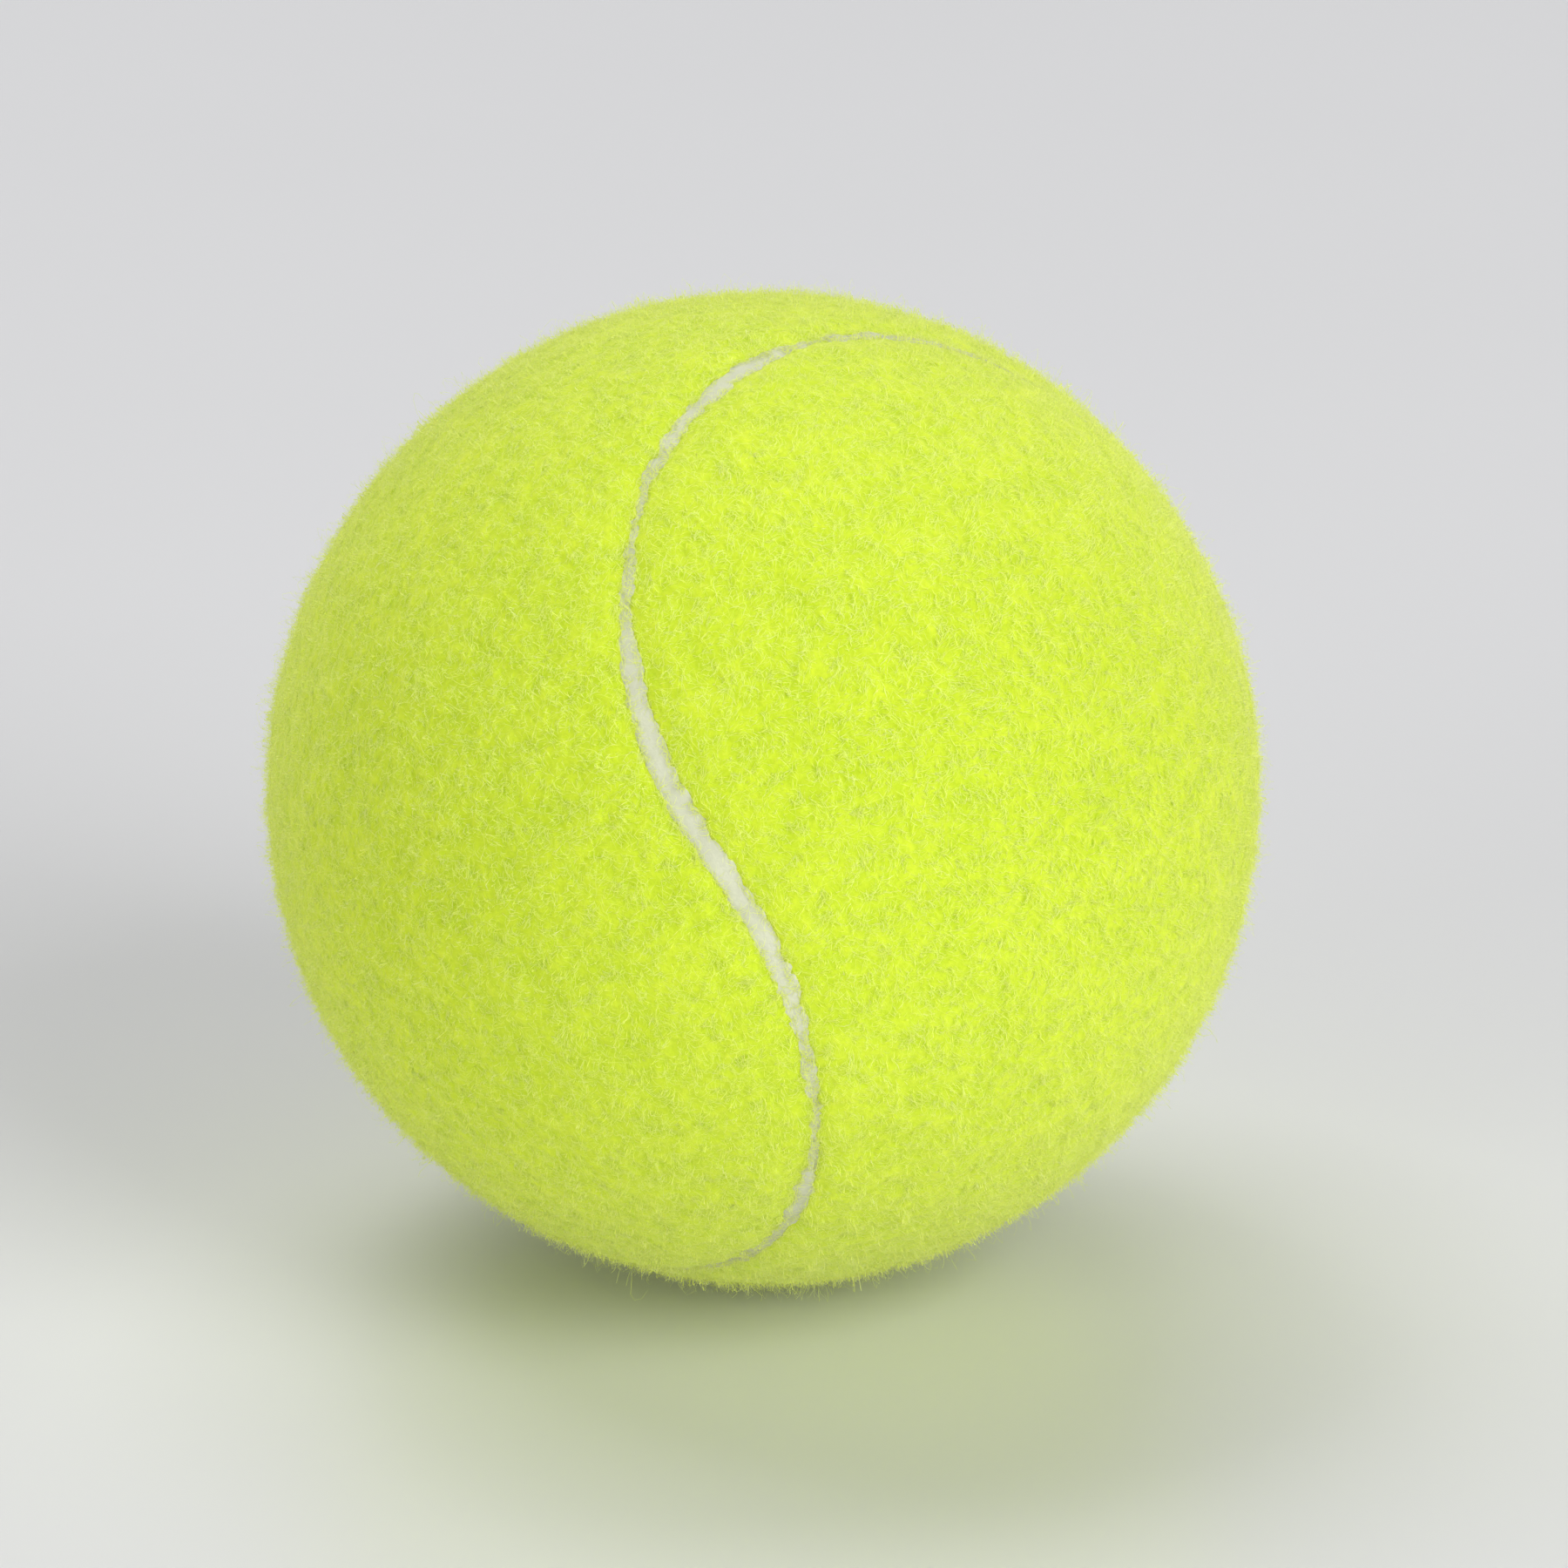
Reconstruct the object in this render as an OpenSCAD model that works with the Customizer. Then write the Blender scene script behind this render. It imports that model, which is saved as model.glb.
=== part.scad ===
// Tennis ball: a pressurised rubber core in two halves, under two interlocking felt panels.
// The origin is the centre of the ball, and +Z is square to the joint of the core.

/* [Core] */
// Outer diameter of the rubber core
core_d = 60; // [57:0.1:62]
// Wall of the rubber core
core_wall = 3.4; // [2.8:0.1:4.5]
// Thickness of the cement between the two rims
joint_cement_t = 0.2; // [0.1:0.05:0.4]
// Chamfer on the inner edge of each rim, which the cement fills
rim_chamfer = 0.8; // [0.4:0.1:1.2]
// How far the bead of cement stands into the hollow
bead_proud = 0.5; // [0.2:0.1:0.8]

/* [Cover] */
// Thickness of the rubber coat that holds the panels to the core
coat_t = 0.15; // [0.1:0.05:0.3]
// Thickness of the woven base of the felt
cloth_t = 0.75; // [0.5:0.05:1]
// Height of the raised nap above the woven base
nap_h = 2.6; // [2:0.1:3.2]
// How far each lobe's middle lies off the plane between the two panels, in degrees
lobe_latitude = 10; // [4:1:18]

/* [Seam] */
// Width of the rubber seam between the panels
seam_w = 1.8; // [1.2:0.1:2.6]
// Depth of the seam below the top of the nap
seam_depth = 0.9; // [0.6:0.1:1.4]
// Radius of the nap's rolled shoulder beside the seam
shoulder_r = 1.1; // [0.7:0.1:1.5]

/* [Turn of the cover on the core] */
// Turn of the cover about X, in degrees
cover_tip = 8; // [-180:0.5:180]
// Turn of the cover about Y, in degrees
cover_lean = -25.5; // [-180:0.5:180]
// Turn of the cover about Z, in degrees
cover_turn = -50; // [-180:0.5:180]

/* [Hidden] */
$fn = 120;

// Radius of each layer, from the hollow outward
hollow_r = core_d / 2 - core_wall;
core_r = core_d / 2;
coat_r = core_r + coat_t;
cloth_r = coat_r + cloth_t;
ball_r = cloth_r + nap_h;
seam_r = ball_r - seam_depth;

// Past the surface, where a cut runs through it
overrun = 1;
// How far out the roof of a panel's wedge lies, so that its flat facets clear the ball
roof_share = 2;

// The seam is four equal arcs, each round the middle of one lobe. The lobes are a quarter turn
// apart. This is the angle from a lobe's middle to the seam at which neighbouring arcs run into
// each other without a kink.
lobe_angle = acos(cos(lobe_latitude) / sqrt(2));
// Each arc runs past its half turn by the same angle at both ends
arc_sweep = 180 + 2 * atan(sin(lobe_latitude));
arc_steps = 36;
stations = 4 * arc_steps;

// The shoulder rises from the seam's wall in steps, and leaves the ball before it lies flat
shoulder_steps = 4;
shoulder_turn = 75;
shoulder_foot = ball_r - shoulder_r;
half_seam = atan2(seam_w / 2, shoulder_foot);

// A place beside the seam. round runs once along the whole seam, from one lobe to the next in
// steps of 1, off is the angle across the seam towards panel A, and r is the distance from the
// centre of the ball.
function beside_seam(round, off, r) =
    let (
        lobe = floor(round),
        side = lobe % 2 == 0 ? 1 : -1,
        heading = 90 * lobe,
        along = (round - lobe - 1 / 2) * arc_sweep,
        away = lobe_angle + side * off,
        level = [cos(heading), sin(heading), 0],
        ahead = [-sin(heading), cos(heading), 0],
        up = [0, 0, side],
        middle = cos(lobe_latitude) * level + sin(lobe_latitude) * up,
        top = cos(lobe_latitude) * up - sin(lobe_latitude) * level
    )
    r * (cos(away) * middle + sin(away) * (cos(along) * top + sin(along) * ahead));

// The seam's stations start at the top of the first lobe, so that station i and station
// stations - i mirror each other
function ring_beside_seam(off, r) =
    [for (i = [0:stations - 1]) beside_seam(1 / 2 + i / arc_steps, off, r)];

// Triangles between each ring and the next, for rings laid one after another in a list
function between_rings(rings, closed) =
    [
        for (ring = [0:rings - (closed ? 1 : 2)], i = [0:stations - 1])
            let (
                j = (i + 1) % stations,
                here = ring * stations,
                next = (ring + 1) % rings * stations
            )
            each [
                [here + i, here + j, next + i],
                [here + j, next + j, next + i]
            ]
    ];

module shell(inner_r, outer_r) {
    difference() {
        sphere(r = outer_r);
        sphere(r = inner_r);
    }
}

// From one panel's place to the other's, a half turn about a line through two arc ends
module to_other_panel() {
    rotate([180, 0, 90]) children();
}

// All that lies under and over one panel, from the centre outward: straight walls up to the
// shoulder, the shoulder, and a roof well clear of the ball
module panel_wedge() {
    shoulder_x = seam_w / 2 + shoulder_r;
    edge = [
        for (i = [0:shoulder_steps])
            let (turn = shoulder_turn * i / shoulder_steps)
            [shoulder_x - shoulder_r * cos(turn), shoulder_foot + shoulder_r * sin(turn)]
    ];
    rings = concat(
        [for (p = edge) ring_beside_seam(-atan2(p.x, p.y), norm(p))],
        [ring_beside_seam(-atan2(shoulder_x, ball_r), roof_share * ball_r)]
    );
    points = concat([for (ring = rings) each ring], [[0, 0, 0]]);
    centre = len(points) - 1;
    roof = (len(rings) - 1) * stations;
    faces = concat(
        [for (i = [0:stations - 1]) [centre, (i + 1) % stations, i]],
        between_rings(len(rings), false),
        [
            for (i = [0:stations / 2 - 1])
                let (
                    here = roof + i,
                    mirrored = roof + (stations - i) % stations,
                    next_mirrored = roof + stations - i - 1
                )
                each [
                    if (i > 0) [here, here + 1, mirrored],
                    if (i < stations / 2 - 1) [here + 1, next_mirrored, mirrored]
                ]
        ]
    );
    polyhedron(points, faces);
}

// A closed strip along the whole seam, as wide as the seam, that runs through the cover
module seam_strip() {
    corners = [
        [-half_seam, core_r - overrun],
        [half_seam, core_r - overrun],
        [half_seam, ball_r + overrun],
        [-half_seam, ball_r + overrun]
    ];
    points = [for (corner = corners) each ring_beside_seam(corner[0], corner[1])];
    polyhedron(points, between_rings(len(corners), true));
}

// One layer of a panel, from one radius to another
module panel_layer(inner_r, outer_r) {
    intersection() {
        shell(inner_r, outer_r);
        panel_wedge();
    }
}

module turned_cover() {
    rotate([cover_tip, cover_lean, cover_turn]) children();
}

// A half of the core, standing on its rim
module core_half() {
    rim_z = joint_cement_t / 2;
    rotate_extrude()
        difference() {
            circle(r = core_r);
            circle(r = hollow_r);
            translate([-core_r - overrun, -core_r - overrun])
                square([core_r + overrun, 2 * (core_r + overrun)]);
            translate([0, -core_r - overrun])
                square([core_r + overrun, core_r + overrun + rim_z]);
            polygon([
                [0, rim_z],
                [hollow_r + rim_chamfer, rim_z],
                [hollow_r, rim_z + rim_chamfer],
                [0, rim_z + rim_chamfer]
            ]);
        }
}

module core_half_upper() {
    color("dimgray") core_half();
}

module core_half_lower() {
    color("gray") mirror([0, 0, 1]) core_half();
}

// Cement between the rims, with the bead that is squeezed into the hollow
module core_joint_cement() {
    half_t = joint_cement_t / 2;
    color("darkkhaki")
        rotate_extrude()
            polygon([
                [core_r, half_t],
                [hollow_r + rim_chamfer, half_t],
                [hollow_r, half_t + rim_chamfer],
                [hollow_r - bead_proud, 0],
                [hollow_r, -half_t - rim_chamfer],
                [hollow_r + rim_chamfer, -half_t],
                [core_r, -half_t]
            ]);
}

module cover_cement_coat() {
    color("tan") shell(core_r, coat_r);
}

module panel_a_base_cloth() {
    color("beige") turned_cover() to_other_panel() panel_layer(coat_r, cloth_r);
}

module panel_a_nap() {
    color("greenyellow") turned_cover() to_other_panel() panel_layer(cloth_r, ball_r);
}

module panel_b_base_cloth() {
    color("beige") turned_cover() panel_layer(coat_r, cloth_r);
}

module panel_b_nap() {
    color("yellowgreen") turned_cover() panel_layer(cloth_r, ball_r);
}

module seam_cement() {
    color("lightgray")
        turned_cover()
            intersection() {
                shell(coat_r, seam_r);
                seam_strip();
            }
}

core_half_upper();
core_half_lower();
core_joint_cement();
cover_cement_coat();
panel_a_base_cloth();
panel_a_nap();
panel_b_base_cloth();
panel_b_nap();
seam_cement();
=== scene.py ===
import math
from typing import Callable, NamedTuple

import bmesh
import bpy
import numpy as np
from mathutils import Euler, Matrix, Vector
from mathutils.geometry import delaunay_2d_cdt


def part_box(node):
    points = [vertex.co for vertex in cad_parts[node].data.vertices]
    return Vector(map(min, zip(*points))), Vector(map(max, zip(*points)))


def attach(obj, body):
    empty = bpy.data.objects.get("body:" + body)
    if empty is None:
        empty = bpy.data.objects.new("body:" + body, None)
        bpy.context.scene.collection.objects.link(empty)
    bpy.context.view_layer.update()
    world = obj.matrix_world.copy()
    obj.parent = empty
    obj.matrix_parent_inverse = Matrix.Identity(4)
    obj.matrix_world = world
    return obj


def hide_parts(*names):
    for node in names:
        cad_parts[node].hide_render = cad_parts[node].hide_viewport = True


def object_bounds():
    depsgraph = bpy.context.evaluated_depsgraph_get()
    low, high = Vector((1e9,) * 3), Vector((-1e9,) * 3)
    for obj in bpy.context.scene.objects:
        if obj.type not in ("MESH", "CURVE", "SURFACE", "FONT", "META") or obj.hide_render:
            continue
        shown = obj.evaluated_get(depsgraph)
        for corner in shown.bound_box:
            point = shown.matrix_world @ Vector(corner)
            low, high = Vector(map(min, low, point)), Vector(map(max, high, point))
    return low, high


bl_info = {
    "name": "Tennis Ball",
    "version": (1, 0, 0),
    "blender": (4, 5, 0),
    "location": "3D View > Sidebar > Ball",
    "description": "Felt cover, seam and rubber core of a tennis ball, on a pale studio sweep",
    "category": "Add Mesh",
}

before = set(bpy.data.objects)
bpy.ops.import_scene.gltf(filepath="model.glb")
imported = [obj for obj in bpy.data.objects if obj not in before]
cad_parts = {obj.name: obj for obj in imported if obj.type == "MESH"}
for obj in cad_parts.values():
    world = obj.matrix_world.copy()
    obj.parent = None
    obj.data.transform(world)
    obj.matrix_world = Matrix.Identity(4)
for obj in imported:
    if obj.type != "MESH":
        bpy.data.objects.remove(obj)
cad_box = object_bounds()

MM = 0.001
CORE_NODES = ("core_half_upper", "core_half_lower")
CEMENT_NODES = ("core_joint_cement", "cover_cement_coat")
PANELS = {"b": 1, "a": -1}  # the side of the seam that each panel lies on
BALL_R = cad_box[1].x
COAT_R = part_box("cover_cement_coat")[1].x
LOBES = 4

# How many millimetres of the seam the felt leaves bare, at places along it. The places run
# once along the seam from 0 to 4, by one for each lobe, and the widths repeat after two lobes.
BARE_AT = (0, 0.13, 0.2, 0.27, 0.33, 0.42, 0.48, 0.53, 0.6, 0.68, 0.75, 0.85, 0.95)
BARE_AT += (1.05, 1.15, 1.25, 1.35, 1.42, 1.47, 1.54, 1.61, 1.67, 1.74, 1.81, 1.87, 1.94)
BARE_MM = (1.3, 1.2, 0.5, 0.2, 0.6, 1.1, 1.25, 0.15, 0.9, 0.6, 0.2, 0.6, 0.9)
BARE_MM += (1.1, 0.7, 0.5, 1.0, 0.5, 0.0, 0.45, 0.8, 0.85, 0.4, 0.3, 0.95, 1.2)
BARE_PERIOD = 2
LEAST_BARE_MM = 0.03  # on each side of the seam's middle

# Layers of noise: the depth and the size of the lumps in millimetres, and a shift in lumps
EDGE_GRAIN = ((0.16, 1.3, 0), (0.2, 0.5, 0), (0.12, 0.26, 0))
RELIEF_GRAIN = ((0.045, 3.2, 0), (0.04, 1.3, 0), (0.08, 0.55, 5), (0.04, 0.3, 9))
CLOTH_GRAIN = ((0.03, 0.9, 0),)
CRUST_GRAIN = ((0.04, 1.4, 0), (0.03, 0.5, 0))
EDGE_SEED_STEP = 3  # leaves a seed for each panel between the layers

# What each noise adds to the seed, so that no two are the same
EDGE_SEED, RELIEF_SEED, SWIRL_SEED = 2, 11, 20
WISP_SEED, TONE_SEED, RISE_SEED = 30, 31, 32
CLOTH_SEED, CRUST_SEED = 3, 51  # the nap's seed leaves these two as they are

# How often the faces of an even sphere are split
FELT_SPLITS, CLOTH_SPLITS, INNER_SPLITS = 8, 6, 5
SNAP_SHARE = 0.3  # of the points' spacing, within which a point moves onto the edge
INNER_MARGIN = 1.2 * MM  # from a panel's rim to the coarse points of its inner face
TINY, FLAT_TINY = 1e-12, 1e-9  # keep a division and a flat triangulation safe
FOOT_RELIEF = 0.25  # share of the relief that is left at the felt's edge

# The seam's strip runs in under the felt, and its crown falls off close to its edges
STRIP_SHARE = 0.62  # half the strip's width, as a share of the seam's
CROWN_MM, CROWN_POWER = 0.3, 12
STATIONS, ACROSS = 1200, 9  # points along the strip and across it


# Settings


def length_setting(name, description, default):
    """A length, whose default is given in millimetres."""
    return bpy.props.FloatProperty(
        name=name, description=description, default=default * MM, unit="LENGTH"
    )


def angle_setting(name, description, default):
    """An angle, whose default is given in degrees."""
    return bpy.props.FloatProperty(
        name=name,
        description=description,
        default=math.radians(default),
        subtype="ANGLE",
        unit="ROTATION",
    )


def count_setting(name, description, default):
    return bpy.props.IntProperty(name=name, description=description, default=default, min=100)


def colour_setting(name, description, default):
    return bpy.props.FloatVectorProperty(
        name=name, description=description, default=default, subtype="COLOR"
    )


def light_setting(name, description, default):
    return bpy.props.FloatProperty(name=name, description=description, default=default, min=0)


class CoverSizes(bpy.types.PropertyGroup):
    """Where the two panels and the seam between them lie."""

    lobe_latitude: angle_setting(
        "Lobe Latitude", "How far each lobe's middle lies off the plane between the panels", 10
    )
    turn: bpy.props.FloatVectorProperty(
        name="Turn",
        description="Turn of the cover on the core",
        default=(math.radians(8), math.radians(-25.5), math.radians(-50)),
        subtype="EULER",
        unit="ROTATION",
    )
    seam_width: length_setting("Seam Width", "Width of the rubber between the panels", 1.8)
    seam_depth: length_setting("Seam Depth", "Depth of the seam below the top of the nap", 0.9)
    shoulder: length_setting(
        "Shoulder", "How far inside its edge the felt reaches its full height", 2.2
    )
    cloth: length_setting("Base Cloth", "Thickness of the woven base of the felt", 0.75)
    lip: length_setting("Lip", "How high the felt's edge stands on the seam", 0.27)


class NapSizes(bpy.types.PropertyGroup):
    """The raised nap of the felt."""

    lying: count_setting("Lying Fibres", "Lying fibres over the whole ball", 165000)
    edge: count_setting(
        "Edge Fibres", "Fibres at the felt's edge, which lie out over the seam", 16000
    )
    fuzz: count_setting(
        "Fuzz", "Short fine fibres that stand out of the nap over the whole ball", 96000
    )
    loose: count_setting(
        "Loose Fibres", "Long curled fibres that have come loose over the whole ball", 3500
    )
    fibre_length: length_setting("Fibre Length", "Length of which each fibre has a share", 1.7)
    fibre_width: length_setting("Fibre Width", "Width of which each fibre has a share", 0.05)
    sink: length_setting(
        "Sink", "How far the felt under the fibres lies inside the ball's full size", 0.3
    )
    seed: bpy.props.IntProperty(
        name="Seed", description="Start of every random draw", default=7, min=0
    )


class Finishes(bpy.types.PropertyGroup):
    """The colours of the ball and of the studio floor."""

    # Painted shade: the felt's colour in its hollows, where the relief is low; also the dark
    # end of its matted grain
    felt_grain_and_pit_shade: colour_setting("Felt Pit", "Colour deep between the fibres", (0.57, 0.735, 0.022))
    felt_face: colour_setting(
        "Felt Face", "Colour of the felt at its surface", (0.785, 0.91, 0.058)
    )
    fibre_root: colour_setting(
        "Fibre Root", "Colour of a fibre where it leaves the felt", (0.865, 0.98, 0.102)
    )
    fibre_tip: colour_setting("Fibre Tip", "Colour of a fibre's tip", (0.94, 1.0, 0.4))
    seam: colour_setting("Seam", "Colour of the rubber seam", (0.69, 0.71, 0.53))
    core: colour_setting("Core", "Colour of the core's rubber", (0.07, 0.07, 0.075))
    cement: colour_setting("Cement", "Colour of the rubber cement", (0.52, 0.41, 0.2))
    backing: colour_setting("Backing", "Colour of the woven base cloth", (0.72, 0.74, 0.5))
    sweep: colour_setting("Sweep", "Colour of the studio floor", (0.775, 0.775, 0.785))
    horizon: colour_setting(
        "Horizon", "How the studio floor looks far out", (0.42, 0.42, 0.43)
    )


class StageSettings(bpy.types.PropertyGroup):
    """Camera and lamps."""

    elevation: angle_setting("Elevation", "How far the camera looks down", 20)
    distance: bpy.props.FloatProperty(
        name="Distance",
        description="From the camera to the middle of the ball",
        default=17 * BALL_R,
        unit="LENGTH",
    )
    lens: bpy.props.FloatProperty(
        name="Lens", description="Focal length in millimetres", default=194.34
    )
    shift: bpy.props.FloatVectorProperty(
        name="Shift",
        description="From the middle of the picture to the ball, as shares of its width",
        size=2,
        default=(0.01294, 0.00278),
    )
    front_high: light_setting("Front High", "Power of the high right front lamp", 10.0)
    front_low: light_setting("Front Low", "Power of the low right front lamp", 8.6)
    front_left: light_setting("Front Left", "Power of the low left front lamp", 8.0)
    back: light_setting("Back", "Power of the high back lamp", 5.8)
    back_left: light_setting("Back Left", "Power of the high left back lamp", 6.8)
    sky: light_setting("Sky", "Strength of the light from all round", 0.15)
    backdrop: light_setting("Backdrop", "How pale the sky is seen above the floor", 0.435)


# Noise and the seam's geometry

# The primes that mix a cell's place and the seed into its value, in 32 bits
PLACE_PRIMES = np.array([73856093, 19349663, 83492791], np.uint64)
SEED_PRIME = 2654435761
MIXING = ((15, 2246822519), (13, 3266489917))
LAST_MIXING = 16
WORD = 2**32


def grain(points, seed):
    """Smooth value noise from -1 to 1, one value for each row of points."""
    cell = np.floor(points).astype(np.int64)
    part = points - cell
    part = part * part * part * (part * (part * 6 - 15) + 10)
    total = np.zeros(len(points))
    for corner in range(8):
        step = np.array([corner & 1, corner >> 1 & 1, corner >> 2 & 1])
        at = (cell + step).astype(np.uint64)
        key = np.bitwise_xor.reduce(at * PLACE_PRIMES, axis=1)
        key ^= np.uint64(seed * SEED_PRIME % WORD)
        for shift, prime in MIXING:
            key = (key ^ (key >> np.uint64(shift))) * np.uint64(prime) & np.uint64(WORD - 1)
        key ^= key >> np.uint64(LAST_MIXING)
        weight = np.prod(np.where(step == 1, part, 1 - part), axis=1)
        total += weight * (key.astype(float) / (WORD / 2) - 1)
    return total


def grains(places, layers, seed, seed_step=1):
    """Layers of noise on top of each other, in millimetres."""
    return sum(
        depth * grain(places / size + shift, seed + seed_step * i)
        for i, (depth, size, shift) in enumerate(layers)
    )


def unit(rows):
    """Each row scaled to a length of 1."""
    return rows / np.linalg.norm(rows, axis=1, keepdims=True)


class Cover:
    """The two panels as functions of a direction from the ball's middle, in the cover's own
    turn. The seam is four equal arcs, each round the middle of one lobe."""

    def __init__(self, sizes, nap):
        self.sizes, self.nap = sizes, nap
        self.lean = sizes.lobe_latitude
        self.lobe_angle = math.acos(math.cos(self.lean) / math.sqrt(2))
        self.arc = math.pi + 2 * math.atan(math.sin(self.lean))
        self.turn = np.array(Euler(sizes.turn, "XYZ").to_matrix())
        self.cloth_r = COAT_R + sizes.cloth
        self.seam_r = BALL_R - sizes.seam_depth
        self.foot_r = self.seam_r + sizes.lip
        self.top_r = BALL_R - nap.sink

    def beside(self, at):
        """Angle from the seam, above zero in panel b, with the nearest lobe's middle and the
        sign by which the angle from that middle grows into panel b."""
        upper = at[:, 2] > math.tan(self.lean) * (abs(at[:, 0]) - abs(at[:, 1]))
        middle = np.zeros_like(at)
        middle[:, 0] = np.where(upper, np.copysign(math.cos(self.lean), at[:, 0]), 0)
        middle[:, 1] = np.where(upper, 0, np.copysign(math.cos(self.lean), at[:, 1]))
        middle[:, 2] = np.where(upper, math.sin(self.lean), -math.sin(self.lean))
        away = np.arccos(np.clip(np.sum(at * middle, axis=1), -1, 1))
        grows = np.where(upper, -1.0, 1.0)
        return grows * (away - self.lobe_angle), middle, grows

    def moved(self, at, side, depth):
        """The same directions, moved square to the seam, till they lie depth inside a panel."""
        _, middle, grows = self.beside(at)
        out = unit(at - np.sum(at * middle, axis=1, keepdims=True) * middle)
        away = self.lobe_angle + depth * side * grows
        return np.cos(away)[:, None] * middle + np.sin(away)[:, None] * out

    def along(self, at):
        """How far along the seam a direction lies, from 0 to 4."""
        _, middle, grows = self.beside(at)
        lobe = np.round(np.arctan2(middle[:, 1], middle[:, 0]) / (math.pi / 2))
        heading = lobe * math.pi / 2
        level = np.cos(heading) * at[:, 0] + np.sin(heading) * at[:, 1]
        ahead = np.cos(heading) * at[:, 1] - np.sin(heading) * at[:, 0]
        top = -grows * math.cos(self.lean) * at[:, 2] - math.sin(self.lean) * level
        return (lobe + 0.5 + np.arctan2(ahead, top) / self.arc) % LOBES

    def all_along(self, off):
        """Directions of points all along the seam, at an angle from its middle."""
        rounds = np.arange(STATIONS) / STATIONS * LOBES
        lobe = np.floor(rounds).astype(int)
        up = np.where(lobe % 2 == 0, 1.0, -1.0)
        turn = (rounds - lobe - 0.5) * self.arc
        heading = lobe * math.pi / 2
        flat = np.zeros(STATIONS)
        level = np.stack([np.cos(heading), np.sin(heading), flat], 1)
        ahead = np.stack([-np.sin(heading), np.cos(heading), flat], 1)
        pole = np.stack([flat, flat, up], 1)
        middle = math.cos(self.lean) * level + math.sin(self.lean) * pole
        top = math.cos(self.lean) * pole - math.sin(self.lean) * level
        out = np.cos(turn)[:, None] * top + np.sin(turn)[:, None] * ahead
        away = (self.lobe_angle + up * off)[:, None]
        return np.cos(away) * middle + np.sin(away) * out

    def edge(self, at, side):
        """Angle from the middle of the seam to a panel's ragged edge."""
        places = at * BALL_R / MM
        width = np.interp(self.along(at), BARE_AT, BARE_MM, period=BARE_PERIOD) / 2
        seed = self.nap.seed + EDGE_SEED + side
        width += grains(places, EDGE_GRAIN, seed, EDGE_SEED_STEP)
        return np.maximum(width, LEAST_BARE_MM) * MM / self.foot_r

    def relief(self, at):
        """Lumps and hollows of the felt, in metres."""
        return MM * grains(at * BALL_R / MM, RELIEF_GRAIN, self.nap.seed + RELIEF_SEED)

    def surface(self, at, side):
        """Radius of a panel's felt in each direction, with its rolled shoulder."""
        inside = side * self.beside(at)[0] - self.edge(at, side)
        rise = np.clip(inside * self.foot_r / self.sizes.shoulder, 0, 1)
        profile = np.sin(rise * math.pi / 2)
        top = self.foot_r + (self.top_r - self.foot_r) * profile
        return top + self.relief(at) * (FOOT_RELIEF + (1 - FOOT_RELIEF) * rise)

    def placed(self, points):
        """From the cover's own turn to the ball's."""
        return points @ self.turn.T


def mesh_piece(name, points, faces, smooth=True):
    """A mesh object from arrays of points and of triangles."""
    mesh = bpy.data.meshes.new(name)
    mesh.vertices.add(len(points))
    mesh.vertices.foreach_set("co", np.asarray(points, np.float32).ravel())
    mesh.loops.add(len(faces) * 3)
    mesh.loops.foreach_set("vertex_index", np.asarray(faces, np.int32).ravel())
    mesh.polygons.add(len(faces))
    mesh.polygons.foreach_set("loop_start", np.arange(len(faces), dtype=np.int32) * 3)
    mesh.polygons.foreach_set("use_smooth", np.full(len(faces), smooth))
    mesh.update(calc_edges=True)
    piece = bpy.data.objects.new(name, mesh)
    bpy.context.scene.collection.objects.link(piece)
    return piece


def set_attribute(piece, name, values):
    """Gives a piece one value at each of its points, for its material."""
    data = piece.data.attributes.new(name, "FLOAT", "POINT").data
    data.foreach_set("value", values.astype(np.float32))


def even_sphere(splits):
    """Points and triangles of an even unit sphere."""
    shape = bmesh.new()
    bmesh.ops.create_icosphere(shape, subdivisions=splits, radius=1)
    mesh = bpy.data.meshes.new("sphere")
    shape.to_mesh(mesh)
    shape.free()
    points = np.empty(len(mesh.vertices) * 3)
    mesh.vertices.foreach_get("co", points)
    corners = np.empty(len(mesh.loops), np.int32)
    mesh.loops.foreach_get("vertex_index", corners)
    bpy.data.meshes.remove(mesh)
    return unit(points.reshape(-1, 3)), corners.reshape(-1, 3)


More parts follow.
